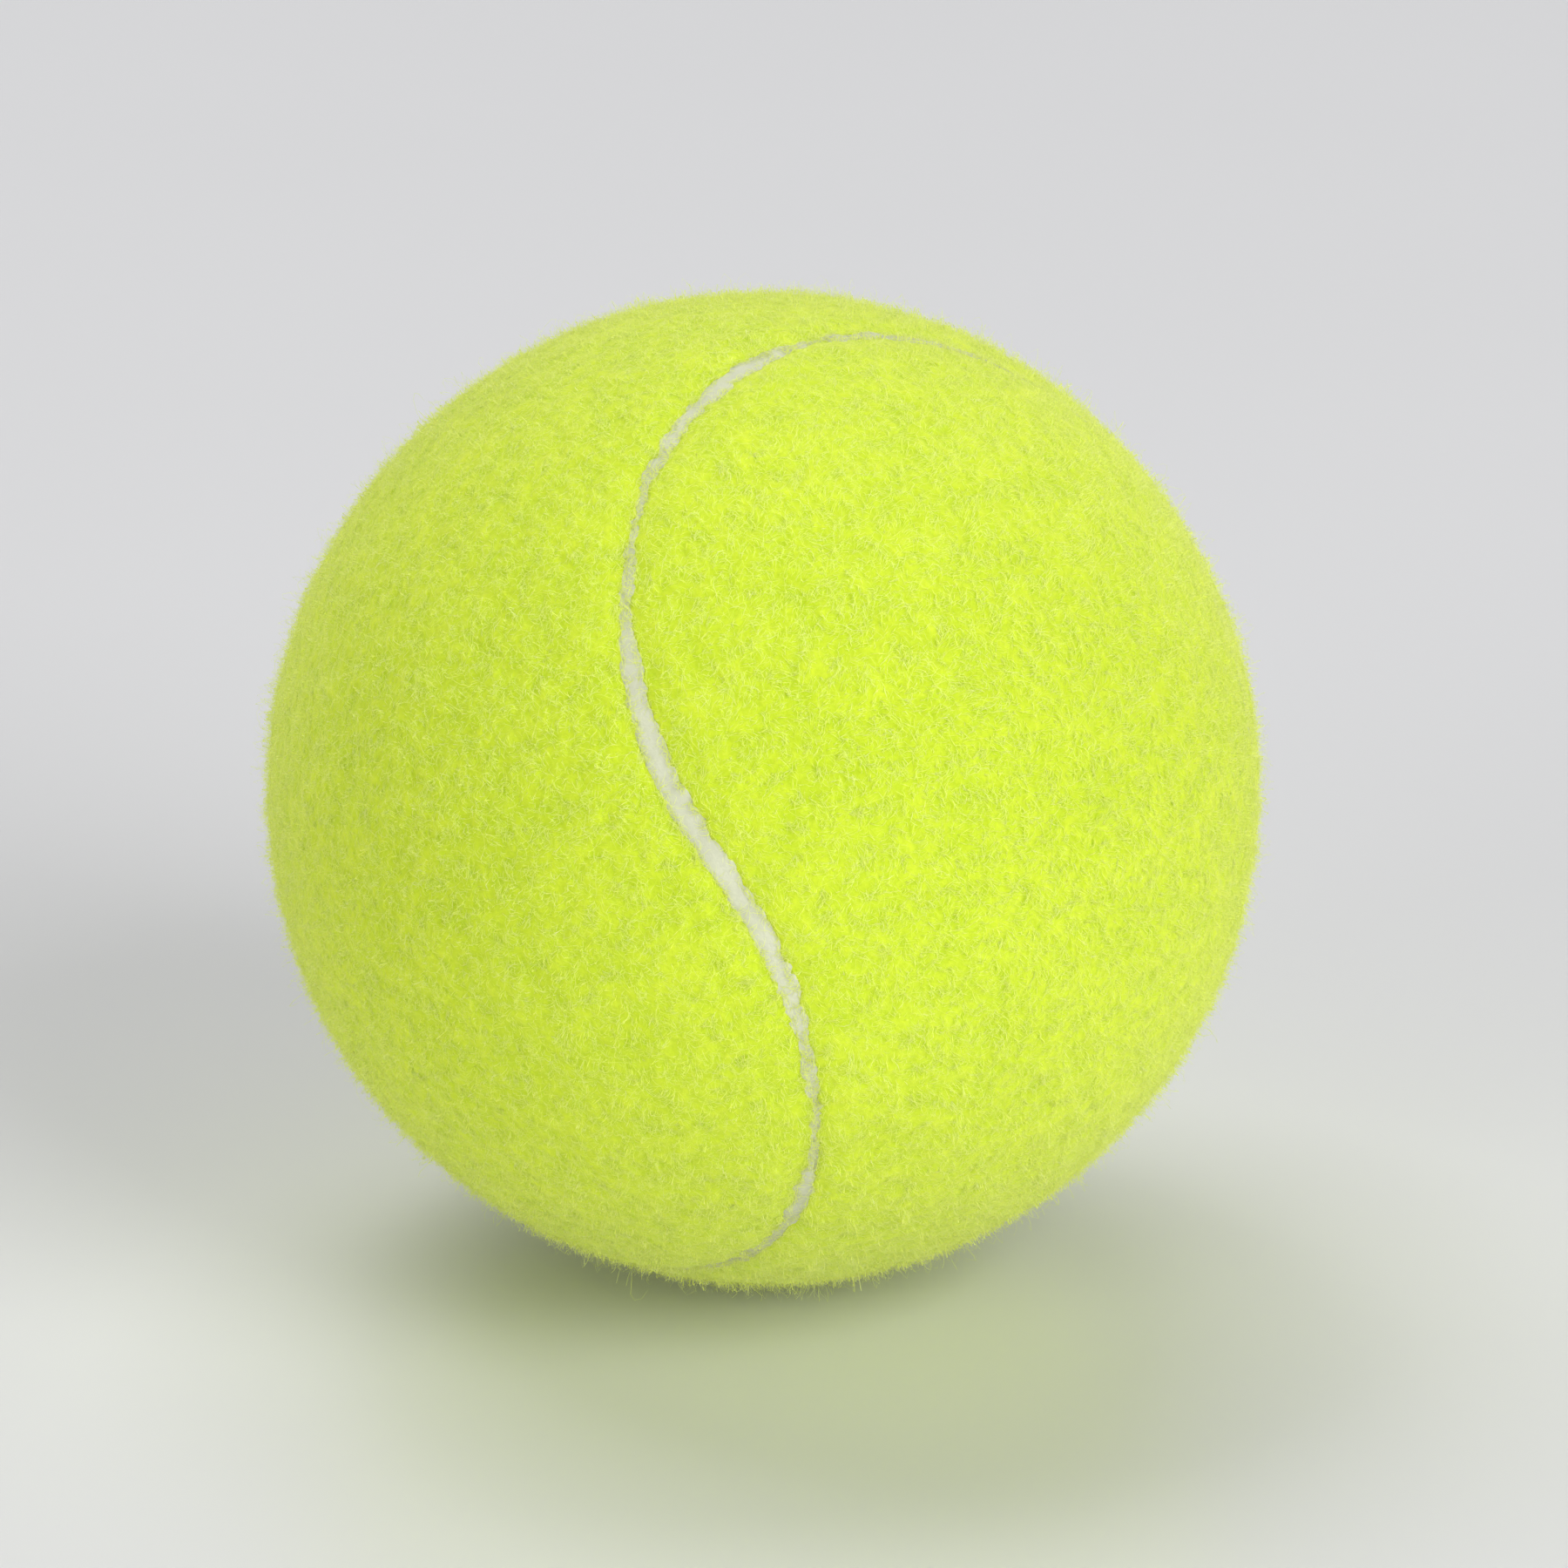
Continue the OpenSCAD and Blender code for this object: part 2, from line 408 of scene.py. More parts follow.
def cut_patch(cover, side, edge, splits):
    """The part of an even sphere inside one panel's edge, cut true along it: its directions,
    its triangles and its rim as one ring of points."""
    at, faces = even_sphere(splits)
    spacing = math.sqrt(4 * math.pi / len(at))

    def depth_of(rows):
        return side * cover.beside(rows)[0] - edge(rows)

    depth = depth_of(at)
    near = np.flatnonzero(abs(depth) < SNAP_SHARE * spacing)
    at[near] = cover.moved(at[near], side, edge(at[near]))
    depth[near] = 0
    sign = np.sign(depth).astype(int)[faces]
    kept = [faces[(sign.min(axis=1) >= 0) & (sign.max(axis=1) > 0)]]
    mixed = (sign.min(axis=1) < 0) & (sign.max(axis=1) > 0)
    faces, sign = faces[mixed], sign[mixed]
    pairs = np.concatenate([faces[:, [0, 1]], faces[:, [1, 2]], faces[:, [2, 0]]])
    signs = np.concatenate([sign[:, [0, 1]], sign[:, [1, 2]], sign[:, [2, 0]]])
    crossing = np.unique(np.sort(pairs[signs[:, 0] * signs[:, 1] < 0], axis=1), axis=0)
    index = {tuple(pair): len(at) + i for i, pair in enumerate(crossing.tolist())}
    share = depth[crossing[:, 0]] / (depth[crossing[:, 0]] - depth[crossing[:, 1]])
    cuts = at[crossing[:, 0]] * (1 - share)[:, None] + at[crossing[:, 1]] * share[:, None]
    cuts = unit(cuts)
    at = np.concatenate([at, cover.moved(cuts, side, edge(cuts))])
    extra = []
    for corners, signs in zip(faces.tolist(), sign.tolist()):
        ring = []
        for i in range(3):
            j = (i + 1) % 3
            if signs[i] >= 0:
                ring.append(corners[i])
            if signs[i] * signs[j] < 0:
                ring.append(index[min(corners[i], corners[j]), max(corners[i], corners[j])])
        extra += [[ring[0], ring[i], ring[i + 1]] for i in range(1, len(ring) - 1)]
    faces = np.concatenate([*kept, np.array(extra)])
    used, flat = np.unique(faces, return_inverse=True)
    faces = flat.reshape(-1, 3)
    return at[used], faces, rim_of(faces)


def rim_of(faces):
    """The open edge of a patch as one ring of points, with the patch on its left."""
    edges = np.concatenate([faces[:, [0, 1]], faces[:, [1, 2]], faces[:, [2, 0]]])
    whole = {tuple(edge) for edge in edges.tolist()}
    after = {a: b for a, b in whole if (b, a) not in whole}
    ring = [next(iter(after))]
    while after[ring[-1]] != ring[0]:
        ring.append(after[ring[-1]])
    if len(ring) != len(after):
        raise RuntimeError(f"more than one rim: {len(ring)} of {len(after)} points")
    return np.array(ring)


def closed_panel(cover, side, edge, top, inner_r, splits):
    """A panel's layer as one closed body: its top, its walls beside the seam, and its inner
    face with fewer triangles."""
    at, faces, rim = cut_patch(cover, side, edge, splits)
    outer = at * top(at)[:, None]
    wall = at[rim]
    coarse, _ = even_sphere(INNER_SPLITS)
    clear = side * cover.beside(coarse)[0] - edge(coarse) > INNER_MARGIN / BALL_R
    inner = np.concatenate([wall, coarse[clear]])
    flat = inner[:, :2] / (1 - side * inner[:, 2:])
    count = len(rim)
    ring = [(i, (i + 1) % count) for i in range(count)]
    points = [Vector(row) for row in flat.tolist()]
    _, _, caps, came_from, *_ = delaunay_2d_cdt(points, ring, [], 1, FLAT_TINY, True)
    caps = np.array([[came_from[i][0] for i in cap] for cap in caps])
    corners = inner[caps]
    normal = np.cross(corners[:, 1] - corners[:, 0], corners[:, 2] - corners[:, 0])
    outward = np.sum(normal * corners[:, 0], axis=1) > 0
    caps[outward] = caps[outward][:, ::-1]
    start = len(outer)
    here = np.arange(count)
    following = np.roll(here, -1)
    walls = np.concatenate(
        [
            np.stack([rim[following], rim, start + here], axis=1),
            np.stack([rim[following], start + here, start + following], axis=1),
        ]
    )
    points = np.concatenate([outer, inner * inner_r])
    return cover.placed(points), np.concatenate([faces, walls, caps + start])


# Fibres

SWIRL_MM, SWIRL_APART, SWIRL = 14, 40, 0.6  # size, shift from axis to axis, and strength
WISP_MM, WISP_TURN, WISP_SPREAD = 0.9, 2.4, 0.3  # size, and turns in radians
WISP_SHARE = 0.7  # of the fibres that lie in wisps
SIDEWAYS = 0.8  # how far fibres over the seam turn from straight across, in radians
TUFT_MM, TUFT = 0.6, 1.2  # size and strength of the tufts in which fibres stand higher
TUFT_LIMITS = (0.4, 1.8)
ROOT_DEPTH = 0.18 * MM
BEND = 0.35  # random turn at each stop, in radians
ARCH = 0.8 * math.pi  # how much of a half wave a fibre rises and falls by
REACH_LIMIT = 3  # times the mean reach
CORNERS, FLATNESS = 3, 0.4  # of a fibre's tube
TAPER = ((0, 0.5, 1), (0.9, 1, 0.7))
TONE_MM, TONE_SPREAD, LEAST_TONE, TONE_WISPS = 0.5, 0.6, 0.2, 0.25


class Layer(NamedTuple):
    """A layer of fibres. Each draw is a kind of random spread and its two sizes, and then its
    limits, if it has any."""

    parts: int  # pieces on each panel
    rings: int  # rings of points along a fibre
    way: Callable  # the way that its fibres set out
    length: tuple  # draw, as shares of the nap's fibre length
    rise: tuple  # draw of the height above the felt, in millimetres
    curl: float  # spread of the whole turn along a fibre, in radians
    width: tuple  # draw, as shares of the nap's fibre width
    reach: float  # mean reach past the felt's edge, in millimetres
    depth: float = math.inf  # how far inside the edge it grows, in millimetres
    drawn: int = 1  # roots to draw over the whole ball for each fibre


def combed(cover, rng, roots, side):
    """The way each fibre sets out: level round the ball for most of them, in wisps that swirl,
    and any for the rest."""
    places, seed = roots * BALL_R / MM, cover.nap.seed
    swirl = np.stack(
        [grain(places / SWIRL_MM + SWIRL_APART * i, seed + SWIRL_SEED + i) for i in range(3)], 1
    )
    flow = np.cross(cover.turn[2], roots) + SWIRL * swirl
    flow = unit(flow - np.sum(flow * roots, axis=1, keepdims=True) * roots)
    wisp = WISP_TURN * grain(places / WISP_MM, seed + WISP_SEED)
    wisp += rng.normal(0, WISP_SPREAD, len(roots))
    astray = rng.uniform(-math.pi, math.pi, len(roots))
    return flow, np.where(rng.random(len(roots)) < WISP_SHARE, wisp, astray)


def over_the_seam(cover, rng, roots, side):
    """The way of fibres at a panel's edge, which lie out over the seam."""
    _, middle, grows = cover.beside(roots)
    ahead = np.sum(roots * middle, axis=1, keepdims=True) * roots - middle
    return unit(ahead) * (-side * grows)[:, None], rng.normal(0, SIDEWAYS, len(roots))


LAYERS = {
    "lying": Layer(
        parts=4,
        rings=1,
        way=combed,
        length=("lognormal", -0.9, 0.35, 0.2, 1),
        rise=("normal", 0.17, 0.13, -0.02, 0.6),
        curl=0.7,
        width=("uniform", 0.9, 1.6),
        reach=0.25,
    ),
    "edge": Layer(
        parts=1,
        rings=2,
        way=over_the_seam,
        length=("uniform", 0.35, 0.9),
        rise=("normal", 0.12, 0.1, 0.0, 0.4),
        curl=1.3,
        width=("uniform", 0.5, 0.9),
        reach=0.35,
        depth=0.55,
        drawn=40,
    ),
    "fuzz": Layer(
        parts=4,
        rings=2,
        way=combed,
        length=("uniform", 0.25, 1.0),
        rise=("lognormal", -1.1, 0.5, 0.12, 0.9),
        curl=1.3,
        width=("uniform", 0.35, 0.65),
        reach=0.1,
    ),
    "loose": Layer(
        parts=1,
        rings=4,
        way=combed,
        length=("lognormal", 0.1, 0.4, 0.5, 3.0),
        rise=("lognormal", -0.8, 0.5, 0.15, 1.4),
        curl=3.0,
        width=("uniform", 0.5, 0.8),
        reach=0.5,
    ),
}


def draw(rng, spread, count):
    """Random numbers of one of a layer's draws."""
    kind, first, second, *limits = spread
    values = getattr(rng, kind)(first, second, count)
    return np.clip(values, *limits) if limits else values


def fibre_paths(cover, rng, roots, side, layer):
    """Points along fibres that start in the felt and follow its surface, and reach past its
    edge by a little, with the fibres' widths."""
    count, stops, nap = len(roots), layer.rings + 2, cover.nap
    length = nap.fibre_length * draw(rng, layer.length, count)
    rise = MM * draw(rng, layer.rise, count)
    curl = rng.normal(0, layer.curl, count)
    width = nap.fibre_width * draw(rng, layer.width, count)
    flow, heading = layer.way(cover, rng, roots, side)
    tufts = 1 + TUFT * grain(roots * BALL_R / MM / TUFT_MM, nap.seed + RISE_SEED)
    rise = rise * np.clip(tufts, *TUFT_LIMITS)
    across = np.cross(roots, flow)
    at = roots
    paths = np.empty((count, stops, 3))
    step = length / (stops - 1) / BALL_R
    reach = layer.reach * MM
    reach = -np.minimum(rng.exponential(reach, count), REACH_LIMIT * reach) / BALL_R
    lift = np.sin(np.linspace(0, ARCH, stops))
    bend = rng.normal(0, BEND, (count, stops))
    for stop in range(stops):
        inside = side * cover.beside(at)[0] - cover.edge(at, side)
        short = inside < reach
        if short.any():
            at = at.copy()
            limit = cover.edge(at[short], side) + reach[short]
            at[short] = cover.moved(at[short], side, limit)
        radius = cover.surface(at, side) + rise * lift[stop]
        if stop == 0:
            radius -= ROOT_DEPTH
        paths[:, stop] = at * radius[:, None]
        ahead = np.cos(heading)[:, None] * flow + np.sin(heading)[:, None] * across
        at = unit(at + ahead * step[:, None])
        heading = heading + curl / (stops - 1) + bend[:, stop]
    return paths, width


def fibre_tubes(cover, rng, paths, width):
    """Closed flat three-sided tubes along the paths, pointed at both ends, with a random tone
    for each fibre and how far along it each point lies."""
    count, stops, _ = paths.shape
    inner = paths[:, 1:-1]
    ways = paths[:, 2:] - paths[:, :-2]
    ways /= np.linalg.norm(ways, axis=2, keepdims=True)
    out = inner / np.linalg.norm(inner, axis=2, keepdims=True)
    across = np.cross(ways, out)
    across /= np.linalg.norm(across, axis=2, keepdims=True) + TINY
    up = FLATNESS * np.cross(across, ways)
    rings = stops - 2
    taper = np.interp(np.linspace(0, 1, rings), *TAPER)
    radius = (width / 2)[:, None, None] * taper[None, :, None]
    points = [paths[:, :1]]
    for corner in range(CORNERS):
        angle = math.pi / 6 + corner * 2 * math.pi / CORNERS
        points.append(inner + radius * (math.cos(angle) * across + math.sin(angle) * up))
    points.append(paths[:, -1:])
    points = np.concatenate(points, axis=1)
    size = 2 + CORNERS * rings
    tip = size - 1
    faces = []
    for corner in range(CORNERS):
        here, after = 1 + corner * rings, 1 + (corner + 1) % CORNERS * rings
        faces.append([0, after, here])
        for ring in range(rings - 1):
            faces.append([here + ring, after + ring, here + ring + 1])
            faces.append([after + ring, after + ring + 1, here + ring + 1])
        faces.append([here + rings - 1, after + rings - 1, tip])
    faces = np.array(faces)[None] + (np.arange(count) * size)[:, None, None]
    share = np.arange(1, rings + 1) / (rings + 1)
    along = np.concatenate([[0], np.tile(share, CORNERS), [1]])
    wisp = grain(paths[:, 0] / MM / TONE_MM, cover.nap.seed + TONE_SEED)
    tone = TONE_SPREAD * rng.random(count) + LEAST_TONE + TONE_WISPS * wisp
    tone = np.repeat(np.clip(tone, 0, 1), size)
    return points.reshape(-1, 3), faces.reshape(-1, 3), tone, np.tile(along, count)


def on_the_floor(points):
    """Points lifted to the level that the ball rests on."""
    points[:, 2] = np.maximum(points[:, 2], -BALL_R)
    return points


# Materials


class Signal:
    """A socket's output, on which Python's operators add nodes."""

    def __init__(self, shading, socket):
        self.shading, self.socket = shading, socket

    def _with(self, operation, other, swapped=False):
        pair = (other, self) if swapped else (self, other)
        kind = "ShaderNodeMath"
        if any(isinstance(x, Signal) and x.socket.type == "VECTOR" for x in pair):
            kind = "ShaderNodeVectorMath"
            pair = [(x,) * 3 if isinstance(x, (int, float)) else x for x in pair]
        return self.shading.node(kind, {"operation": operation}, dict(enumerate(pair)))

    def __add__(self, other):
        return self._with("ADD", other)

    def __radd__(self, other):
        return self._with("ADD", other, True)

    def __sub__(self, other):
        return self._with("SUBTRACT", other)

    def __rsub__(self, other):
        return self._with("SUBTRACT", other, True)

    def __mul__(self, other):
        return self._with("MULTIPLY", other)

    def __rmul__(self, other):
        return self._with("MULTIPLY", other, True)

    def __pow__(self, other):
        return self._with("POWER", other)


class Shading:
    """A node tree, made node by node."""

    def __init__(self, tree):
        self.tree = tree

    def set(self, socket, value):
        """Links a socket to a signal, or gives it a plain value."""
        if isinstance(value, Signal):
            self.tree.links.new(value.socket, socket)
        elif socket.type == "RGBA" and len(value) == 3:
            socket.default_value = (*value, 1)
        else:
            socket.default_value = value

    def node(self, kind, settings=None, sockets=None, out=0):
        """Adds a node: its settings first, then the values or links of its sockets."""
        node = self.tree.nodes.new(kind)
        for name, value in (settings or {}).items():
            setattr(node, name, value)
        for socket, value in (sockets or {}).items():
            self.set(node.inputs[socket], value)
        return Signal(self, node.outputs[out])

    def seen(self):
        """1 for what is looked at, straight, in a mirror or through glass, and 0 for light."""
        rays = ("Is Camera Ray", "Is Glossy Ray", "Is Transmission Ray")
        return sum(self.node("ShaderNodeLightPath", out=ray) for ray in rays)


class Finish(Shading):
    """One procedural material."""

    def __init__(self, name, **own):
        self.material = bpy.data.materials.new(name)
        self.material.use_nodes = True
        super().__init__(self.material.node_tree)
        self.shader = self.tree.nodes["Principled BSDF"]
        self.done(**own)

    def places(self):
        """Where a point lies, in millimetres from the middle of the ball."""
        return self.node("ShaderNodeTexCoord", out="Object") * (1 / MM)

    def length(self, vector):
        settings = {"operation": "LENGTH"}
        return self.node("ShaderNodeVectorMath", settings, {0: vector}, out="Value")

    def noise(self, places, size, detail=2.0, roughness=0.5):
        """Noise from 0 to 1 whose lumps are about size millimetres across."""
        return self.node(
            "ShaderNodeTexNoise",
            None,
            {"Vector": places, "Scale": 1 / size, "Detail": detail, "Roughness": roughness},
        )

    def ranged(self, value, low, high, to_low=0.0, to_high=1.0):
        """A value between low and high, brought smoothly to its place between two others."""
        return self.node(
            "ShaderNodeMapRange",
            {"interpolation_type": "SMOOTHSTEP"},
            {0: value, 1: low, 2: high, 3: to_low, 4: to_high},
        )

    def attribute(self, name):
        """What set_attribute gave to the piece."""
        return self.node("ShaderNodeAttribute", {"attribute_name": name}, out="Fac")

    def mixed(self, share, one, other):
        """From one colour to the other."""
        return self.node(
            "ShaderNodeMix", {"data_type": "RGBA"}, {0: share, 6: one, 7: other}, out=2
        )

    def bump(self, height, depth, strength=1.0):
        """Bumps of up to depth millimetres."""
        return self.node(
            "ShaderNodeBump",
            None,
            {"Height": height, "Distance": depth * MM, "Strength": strength},
        )

    def done(self, **sockets):
        """Sets the shader's sockets, and gives the material."""
        for socket, value in sockets.items():
            self.set(self.shader.inputs[socket.replace("_", " ")], value)
        return self.material


def shaded(colour, share):
    """A colour made darker, or brighter with a share above 1."""
    return tuple(channel * share for channel in colour)

# What the felt and its fibres share
WOOL = {
    "Sheen_Weight": 0.5,
    "Sheen_Roughness": 0.5,
    "Sheen_Tint": (0.92, 1.0, 0.5),
    "Subsurface_Radius": (1.0, 1.0, 0.35),
}
PATCHES = {"size": 1.6, "detail": 3.0, "roughness": 0.6}
GLOW_MM = (350.0, 1800.0)  # from the ball, where the floor's glow sets in and is full


def felt_finish(colours):
    """Felt under the fibres: painted shade, a darker colour in its hollows, and a fine matted
    grain.
    """
    felt = Finish(
        "felt",
        Roughness=0.95,
        Specular_IOR_Level=0.15,
        Subsurface_Weight=0.8,
        Subsurface_Scale=0.2 * MM,
        **WOOL,
    )
    places = felt.places()
    height = felt.attribute("relief")
    mat = felt.noise(places, size=0.35, detail=3.0, roughness=0.65)
    patch = felt.noise(places, **PATCHES)
    # Painted shade: the relief's height darkens the colour in the hollows; the mat and the
    # patches are the felt's own grain and tone
    share = height * 1.1 + mat * 0.5 + patch * 0.1 + 0.18
    colour = felt.mixed(
        felt.ranged(share, 0.15, 0.85), tuple(colours.felt_grain_and_pit_shade), tuple(colours.felt_face)
    )
    return felt.done(Base_Color=colour, Normal=felt.bump(mat, depth=0.12, strength=0.9))


def fibre_finish(colours):
    """Fibres that pale towards their tips, each a little different, and a few painted near
    white as painted glints.
    """
    fibre = Finish(
        "nap_fibre",
        Roughness=0.55,
        Specular_IOR_Level=0.35,
        Subsurface_Weight=0.7,
        Subsurface_Scale=0.1 * MM,
        **WOOL,
    )
    tone, along = fibre.attribute("tone"), fibre.attribute("along")
    patch = fibre.noise(fibre.places(), **PATCHES)
    # Painted glints: a few random fibres painted near white
    glint_fibres = tone**12
    share = along * 0.3 + tone * 0.35 + patch * 0.12 + glint_fibres * 0.5 - 0.08
    colour = fibre.mixed(
        fibre.ranged(share, 0.05, 0.95), tuple(colours.fibre_root), tuple(colours.fibre_tip)
    )
    return fibre.done(Base_Color=colour)


def seam_finish(colours):
    """Pale vulcanised rubber, faintly mottled, with a dry crust."""
    seam = Finish("seam_rubber", Roughness=0.7)
    places = seam.places()
    crust = seam.noise(places, size=0.25, detail=4.0, roughness=0.6)
    cloud = seam.noise(places, size=2.5)
    colour = seam.mixed(
        seam.ranged(crust * 0.5 + cloud * 0.5, 0.3, 0.7),
        shaded(colours.seam, 0.88),
        tuple(colours.seam),
    )
    return seam.done(
        Base_Color=colour,
        Roughness=seam.ranged(crust, 0.3, 0.7, to_low=0.6, to_high=0.8),
        Normal=seam.bump(crust, depth=0.05, strength=0.8),
    )


def core_finish(colours):
    """Dark moulded rubber with bloom and fine pits."""
    core = Finish("core_rubber")
    places = core.places()
    pits = core.noise(places, size=0.4, detail=3.0)
    bloom = core.noise(places, size=8.0, detail=3.0)
    colour = core.mixed(
        core.ranged(bloom, 0.35, 0.7), tuple(colours.core), shaded(colours.core, 1.9)
    )
    return core.done(
        Base_Color=colour,
        Roughness=core.ranged(bloom, 0.3, 0.7, to_low=0.55, to_high=0.75),
        Normal=core.bump(pits, depth=0.04, strength=0.7),
    )


def cement_finish(colours):
    """Brushed rubber cement: streaks, and thin and thick places."""
    cement = Finish("rubber_cement")
    places = cement.places()
    drawn_out = places * (1.0, 1.0, 0.15)
    streaks = cement.noise(drawn_out, size=1.2, detail=3.0)
    pools = cement.noise(places, size=5.0)
    colour = cement.mixed(
        cement.ranged(pools * 0.5 + streaks * 0.5, 0.3, 0.7),
        shaded(colours.cement, 0.7),
        tuple(colours.cement),
    )
    return cement.done(
        Base_Color=colour,
        Roughness=cement.ranged(pools, 0.3, 0.7, to_low=0.35, to_high=0.6),
        Normal=cement.bump(streaks, depth=0.05, strength=0.6),
    )


def backing_finish(colours):
    """Plain weave of the base cloth, with slubs in its threads."""
    cloth = Finish("woven_backing", Roughness=0.9)
    places = cloth.places()
    thread = 0.9
    waves = {"Vector": places, "Scale": 1 / thread / 2, "Distortion": 0.6, "Detail": 1.0}
    warp, weft = (
        cloth.node(
            "ShaderNodeTexWave",
            {"wave_type": "BANDS", "bands_direction": axis},
            waves,
            out="Fac",
        )
        for axis in "XZ"
    )
    slubs = cloth.noise(places, size=0.6)
    weave = warp * weft + (1 - warp) * (1 - weft)
    colour = cloth.mixed(
        cloth.ranged(weave * 0.7 + slubs * 0.3, 0.2, 0.8),
        shaded(colours.backing, 0.6),
        tuple(colours.backing),
    )
    return cloth.done(Base_Color=colour, Normal=cloth.bump(weave, depth=0.12, strength=0.8))


def sweep_finish(colours):
    """Pale satin floor, which mirrors the ball faintly and takes its colour. Far out, where
    the lamps don't reach, it is still seen pale, but lights nothing."""
    sweep = Finish("sweep", Roughness=0.35, Specular_IOR_Level=0.8)
    places = sweep.places()
    soft = sweep.noise(places, size=60.0, detail=1.0)
    colour = sweep.mixed(soft, shaded(colours.sweep, 0.99), shaded(colours.sweep, 1.01))
    sweep.done(Base_Color=colour)
    glow = sweep.node("ShaderNodeEmission", None, {"Color": colours.horizon})
    seen = sweep.seen() * sweep.ranged(sweep.length(places), *GLOW_MM)
    lit = Signal(sweep, sweep.shader.outputs[0])
    shown = sweep.node("ShaderNodeMixShader", None, {0: seen, 1: lit, 2: glow})
    sweep.set(sweep.tree.nodes["Material Output"].inputs["Surface"], shown)
    return sweep.material


def dress(piece, material, replaces=()):
    """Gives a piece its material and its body."""
    piece.data.materials.clear()
    piece.data.materials.append(material)
    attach(piece, "root")
    if replaces:
        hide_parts(*replaces)


# Operators

LEAST_DEPTH = 0.02 * MM  # from the felt's edge to the nearest fibre


class BALL_OT_core(bpy.types.Operator):
    """Dress the core's rubber halves and the cement in and on them"""

    bl_idname = "tennis_ball.core"
    bl_label = "Core"

    def execute(self, context):
        colours = context.scene.ball_finishes
        for names, material in (
            (CORE_NODES, core_finish(colours)),
            (CEMENT_NODES, cement_finish(colours)),
        ):
            for name in names:
                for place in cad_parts[name].material_slots:
                    place.material = material
        return {"FINISHED"}


class BALL_OT_backing(bpy.types.Operator):
    """Make the woven base cloth under each panel's nap"""

    bl_idname = "tennis_ball.backing"
    bl_label = "Base Cloth"

    def execute(self, context):
        scene = context.scene
        cover = Cover(scene.ball_cover, scene.ball_nap)
        material = backing_finish(scene.ball_finishes)
        half = cover.sizes.seam_width / 2 / cover.foot_r

        def edge(at):
            return np.full(len(at), half)

        def top(at):
            return cover.cloth_r + MM * grains(at * BALL_R / MM, CLOTH_GRAIN, CLOTH_SEED)

        for name, side in PANELS.items():
            points, faces = closed_panel(cover, side, edge, top, COAT_R, CLOTH_SPLITS)
            piece = mesh_piece(f"panel_{name}_backing", points, faces)
            dress(piece, material, [f"panel_{name}_base_cloth"])
        return {"FINISHED"}


class BALL_OT_felt(bpy.types.Operator):
    """Make the felt body of each panel, with its lumps and rolled shoulders"""

    bl_idname = "tennis_ball.felt"
    bl_label = "Felt"

    def execute(self, context):
        scene = context.scene
        cover = Cover(scene.ball_cover, scene.ball_nap)
        material = felt_finish(scene.ball_finishes)
        for name, side in PANELS.items():
            points, faces = closed_panel(
                cover,
                side,
                lambda at, side=side: cover.edge(at, side),
                lambda at, side=side: cover.surface(at, side),
                cover.cloth_r,
                FELT_SPLITS,
            )
            relief = cover.relief(unit(points @ cover.turn)) / MM
            piece = mesh_piece(f"panel_{name}_felt", on_the_floor(points), faces)
            # The felt's material paints shade into its hollows from this relief
            set_attribute(piece, "relief", relief)
            dress(piece, material, [f"panel_{name}_nap"])
        return {"FINISHED"}


class BALL_OT_fibres(bpy.types.Operator):
    """Make the nap's fibres: a lying layer over the felt, and fibres that stand out of it"""

    bl_idname = "tennis_ball.fibres"
    bl_label = "Nap Fibres"

    def execute(self, context):
        scene = context.scene
        nap = scene.ball_nap
        cover = Cover(scene.ball_cover, nap)
        material = fibre_finish(scene.ball_finishes)
        rng = np.random.default_rng(nap.seed)
        nap_pieces = {name: [bpy.data.objects[f"panel_{name}_felt"]] for name in PANELS}
        for key, layer in LAYERS.items():
            roots = unit(rng.normal(size=(getattr(nap, key) * layer.drawn, 3)))
            depth = layer.depth * MM / BALL_R
            for name, side in PANELS.items():
                inside = side * cover.beside(roots)[0] - cover.edge(roots, side)
                own = roots[(inside > LEAST_DEPTH / BALL_R) & (inside < depth)]
                for part, batch in enumerate(np.array_split(own, layer.parts)):
                    paths, width = fibre_paths(cover, rng, batch, side, layer)
                    points, faces, tone, along = fibre_tubes(cover, rng, paths, width)
                    piece = mesh_piece(
                        f"panel_{name}_fibres_{key}_{part + 1}",
                        on_the_floor(cover.placed(points)),
                        faces,
                        smooth=False,
                    )
                    set_attribute(piece, "tone", tone)
                    set_attribute(piece, "along", along)
                    dress(piece, material)
                    nap_pieces[name].append(piece)
        return {"FINISHED"}


class BALL_OT_seam(bpy.types.Operator):
    """Make the pale rubber seam, with an uneven crust"""

    bl_idname = "tennis_ball.seam"
    bl_label = "Seam"

    def execute(self, context):
        scene = context.scene
        cover = Cover(scene.ball_cover, scene.ball_nap)
        half = STRIP_SHARE * cover.sizes.seam_width / cover.foot_r
        rings = []
        for share in np.linspace(-1, 1, ACROSS):
            at = cover.all_along(half * share)
            crust = grains(at * BALL_R / MM, CRUST_GRAIN, CRUST_SEED)
            crown = CROWN_MM * (1 - share**CROWN_POWER)
            rings.append(at * (cover.seam_r + MM * (crown + crust))[:, None])
        rings += [cover.all_along(half * share) * COAT_R for share in (1, -1)]
        faces = []
        here = np.arange(STATIONS)
        following = np.roll(here, -1)
        for ring in range(len(rings)):
            a, b = ring * STATIONS, (ring + 1) % len(rings) * STATIONS
            faces.append(np.stack([a + here, a + following, b + here], 1))
            faces.append(np.stack([a + following, b + following, b + here], 1))
        points = cover.placed(np.concatenate(rings))
        piece = mesh_piece("seam_strip", points, np.concatenate(faces))
        shape = bmesh.new()
        shape.from_mesh(piece.data)
        bmesh.ops.recalc_face_normals(shape, faces=shape.faces)
        shape.to_mesh(piece.data)
        shape.free()
        dress(piece, seam_finish(scene.ball_finishes), ["seam_cement"])
        return {"FINISHED"}


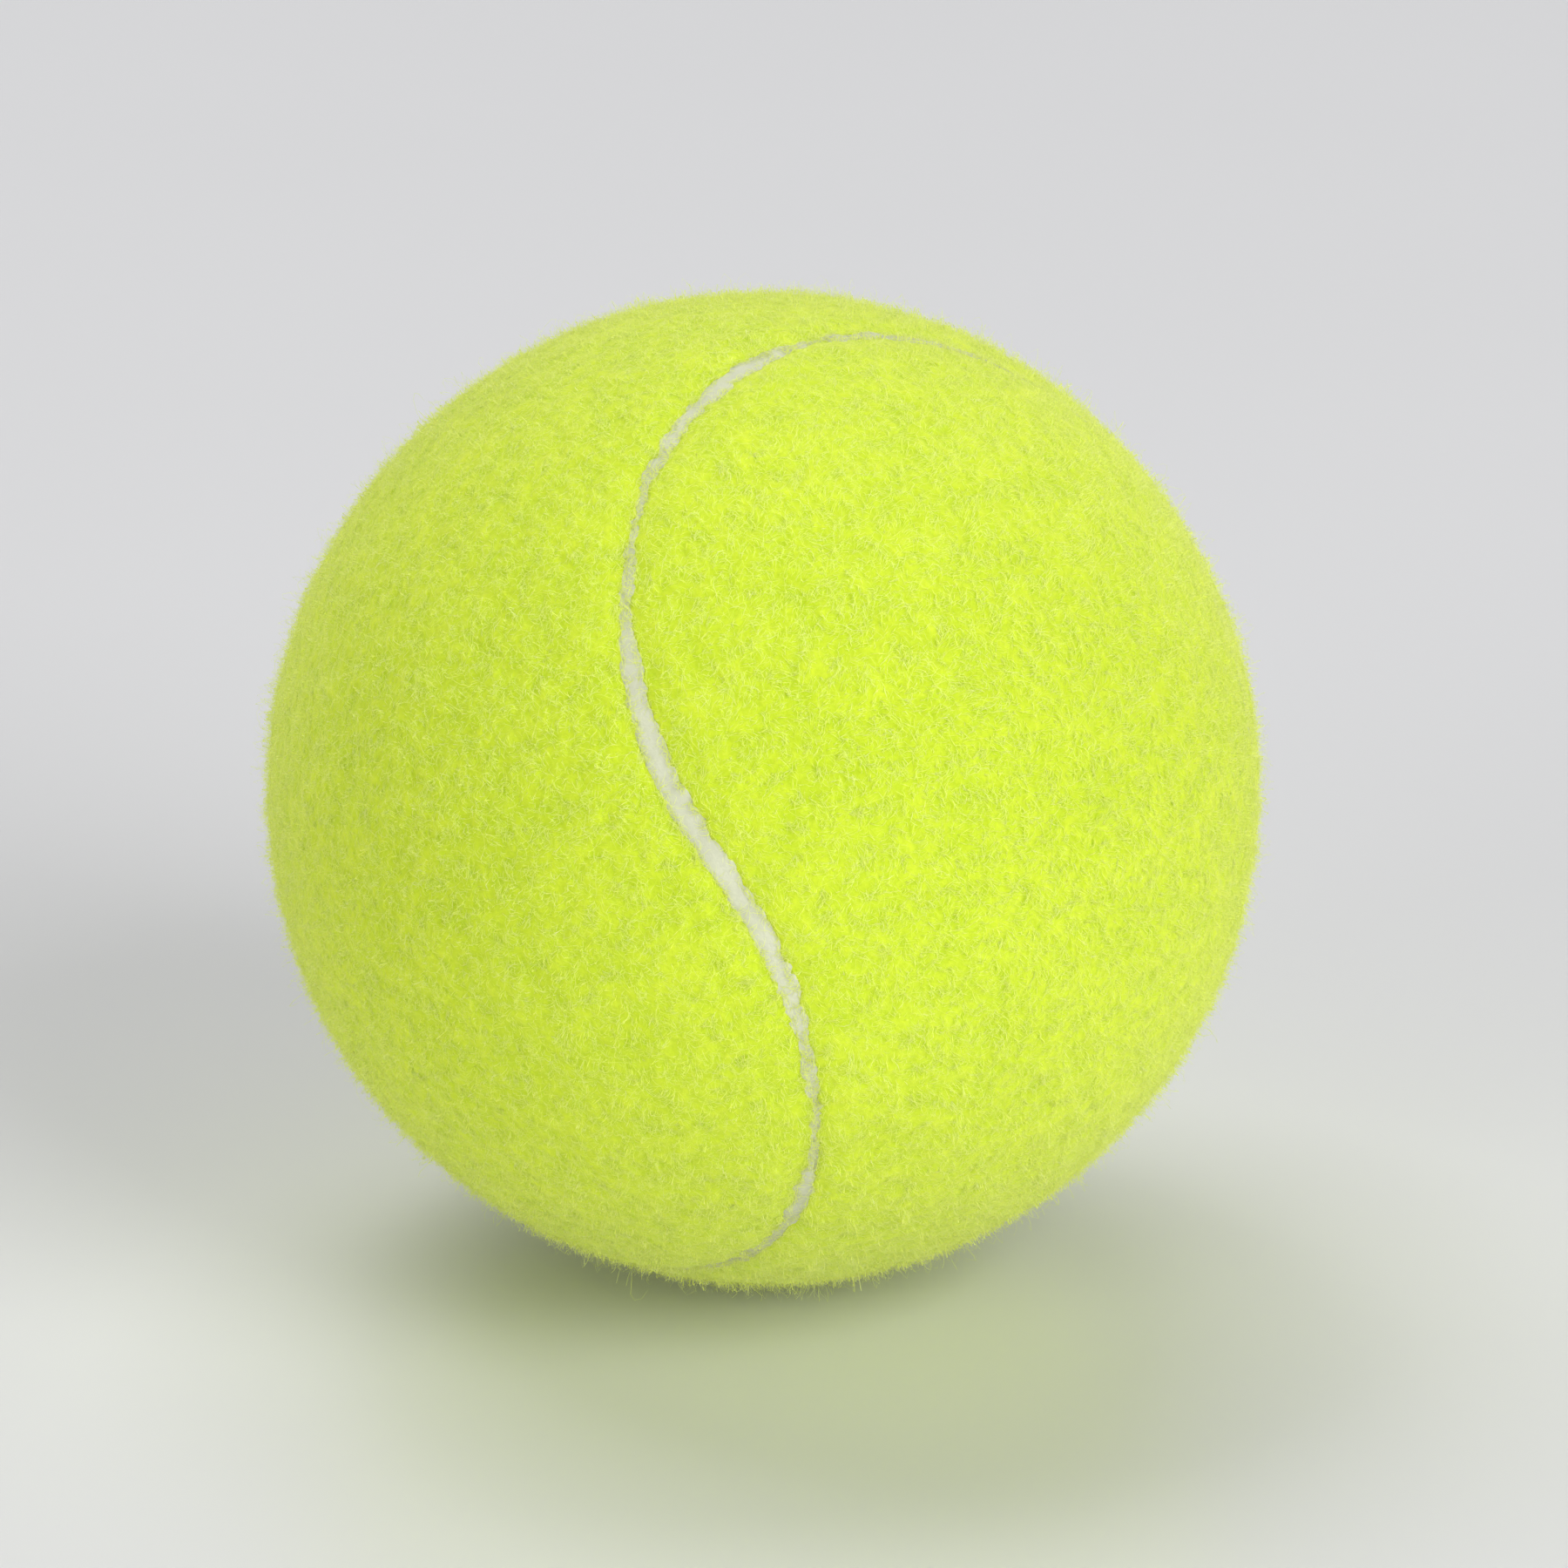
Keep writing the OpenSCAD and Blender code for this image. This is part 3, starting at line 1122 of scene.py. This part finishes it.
# The studio, in metres and degrees: each lamp's heading and height
LAMPS = {
    "front_high": (-45, 35),
    "front_low": (-45, 12),
    "front_left": (-135, 12),
    "back": (90, 60),
    "back_left": (135, 60),
}
LAMP_DISTANCE, LAMP_SIZE = 1.5, 0.8
SKY_COLOUR = (0.97, 0.98, 1.0)
SENSOR_MM, CLIP = 36, (0.01, 50)
FLOOR_RINGS, FLOOR_R, FLOOR_SIDES = (0.1, 0.4, 1.2, 3), 6.0, 96
BEND_R, BEND_STEPS, WALL_TOP = 2.5, 12, 6.0


class BALL_OT_stage(bpy.types.Operator):
    """Make the floor, the lamps and the camera"""

    bl_idname = "tennis_ball.stage"
    bl_label = "Stage"

    def execute(self, context):
        scene, stage = context.scene, context.scene.ball_stage
        self.floor(scene)
        for name, (heading, height) in LAMPS.items():
            self.lamp(scene, name, math.radians(heading), math.radians(height))
        self.sky(scene, stage.sky, stage.backdrop)
        data = bpy.data.cameras.new("camera")
        data.sensor_width, data.lens = SENSOR_MM, stage.lens
        data.shift_x, data.shift_y = stage.shift
        data.clip_start, data.clip_end = CLIP
        camera = bpy.data.objects.new("camera", data)
        down = stage.elevation
        camera.location = stage.distance * Vector((0, -math.cos(down), math.sin(down)))
        camera.rotation_euler = (math.pi / 2 - down, 0, 0)
        scene.collection.objects.link(camera)
        scene.camera = camera
        scene.view_settings.view_transform = "Standard"
        return {"FINISHED"}

    def floor(self, scene):
        """A round floor that curves up into a wall all round."""
        profile = [(radius, 0) for radius in FLOOR_RINGS]
        for i in range(BEND_STEPS + 1):
            turn = math.pi / 2 * i / BEND_STEPS
            height = BEND_R * (1 - math.cos(turn))
            profile.append((FLOOR_R + BEND_R * math.sin(turn), height))
        profile.append((FLOOR_R + BEND_R, WALL_TOP))
        shape = bmesh.new()
        middle = shape.verts.new((0, 0, -BALL_R))
        sides = [2 * math.pi * i / FLOOR_SIDES for i in range(FLOOR_SIDES)]
        rings = [
            [
                shape.verts.new((radius * math.cos(a), radius * math.sin(a), height - BALL_R))
                for a in sides
            ]
            for radius, height in profile
        ]
        for i in range(FLOOR_SIDES):
            j = (i + 1) % FLOOR_SIDES
            shape.faces.new((middle, rings[0][i], rings[0][j]))
            for low, high in zip(rings, rings[1:]):
                shape.faces.new((low[i], high[i], high[j], low[j]))
        mesh = bpy.data.meshes.new("sweep")
        shape.to_mesh(mesh)
        shape.free()
        mesh.shade_smooth()
        floor = bpy.data.objects.new("sweep", mesh)
        mesh.materials.append(sweep_finish(scene.ball_finishes))
        scene.collection.objects.link(floor)

    def lamp(self, scene, name, heading, height):
        """A soft square lamp, turned to the ball."""
        data = bpy.data.lights.new(name, "AREA")
        data.shape, data.size = "SQUARE", LAMP_SIZE
        data.energy = getattr(scene.ball_stage, name)
        lamp = bpy.data.objects.new(name, data)
        level = Vector((math.cos(heading), math.sin(heading), 0)) * math.cos(height)
        lamp.location = LAMP_DISTANCE * (level + Vector((0, 0, math.sin(height))))
        lamp.rotation_euler = (-lamp.location).to_track_quat("-Z", "Y").to_euler()
        lamp.visible_camera = False
        scene.collection.objects.link(lamp)

    def sky(self, scene, strength, seen_strength):
        """Faint light from all round, which is seen as a pale backdrop."""
        world = bpy.data.worlds.new("sky")
        world.use_nodes = True
        shading = Shading(world.node_tree)
        background = world.node_tree.nodes["Background"]
        shading.set(background.inputs["Color"], SKY_COLOUR)
        level = strength + shading.seen() * (seen_strength - strength)
        shading.set(background.inputs["Strength"], level)
        scene.world = world


class BALL_PT_make(bpy.types.Panel):
    """The steps that make the ball, in order, and its settings"""

    bl_idname = "BALL_PT_make"
    bl_label = "Tennis Ball"
    bl_space_type = "VIEW_3D"
    bl_region_type = "UI"
    bl_category = "Ball"

    def draw(self, context):
        for step in STEPS:
            self.layout.operator(step.bl_idname)
        for name, group in GROUPS.items():
            box = self.layout.box()
            for setting in group.__annotations__:
                box.prop(getattr(context.scene, name), setting)


STEPS = (
    BALL_OT_core,
    BALL_OT_backing,
    BALL_OT_felt,
    BALL_OT_fibres,
    BALL_OT_seam,
    BALL_OT_stage,
)
GROUPS = {
    "ball_cover": CoverSizes,
    "ball_nap": NapSizes,
    "ball_finishes": Finishes,
    "ball_stage": StageSettings,
}


def register():
    for cls in (*GROUPS.values(), *STEPS, BALL_PT_make):
        bpy.utils.register_class(cls)
    for name, group in GROUPS.items():
        setattr(bpy.types.Scene, name, bpy.props.PointerProperty(type=group))


def unregister():
    for name in GROUPS:
        delattr(bpy.types.Scene, name)
    for cls in (BALL_PT_make, *reversed(STEPS), *GROUPS.values()):
        bpy.utils.unregister_class(cls)


def main():
    register()
    for step in STEPS:
        group, name = step.bl_idname.split(".")
        getattr(getattr(bpy.ops, group), name)()


if __name__ == "__main__":
    main()
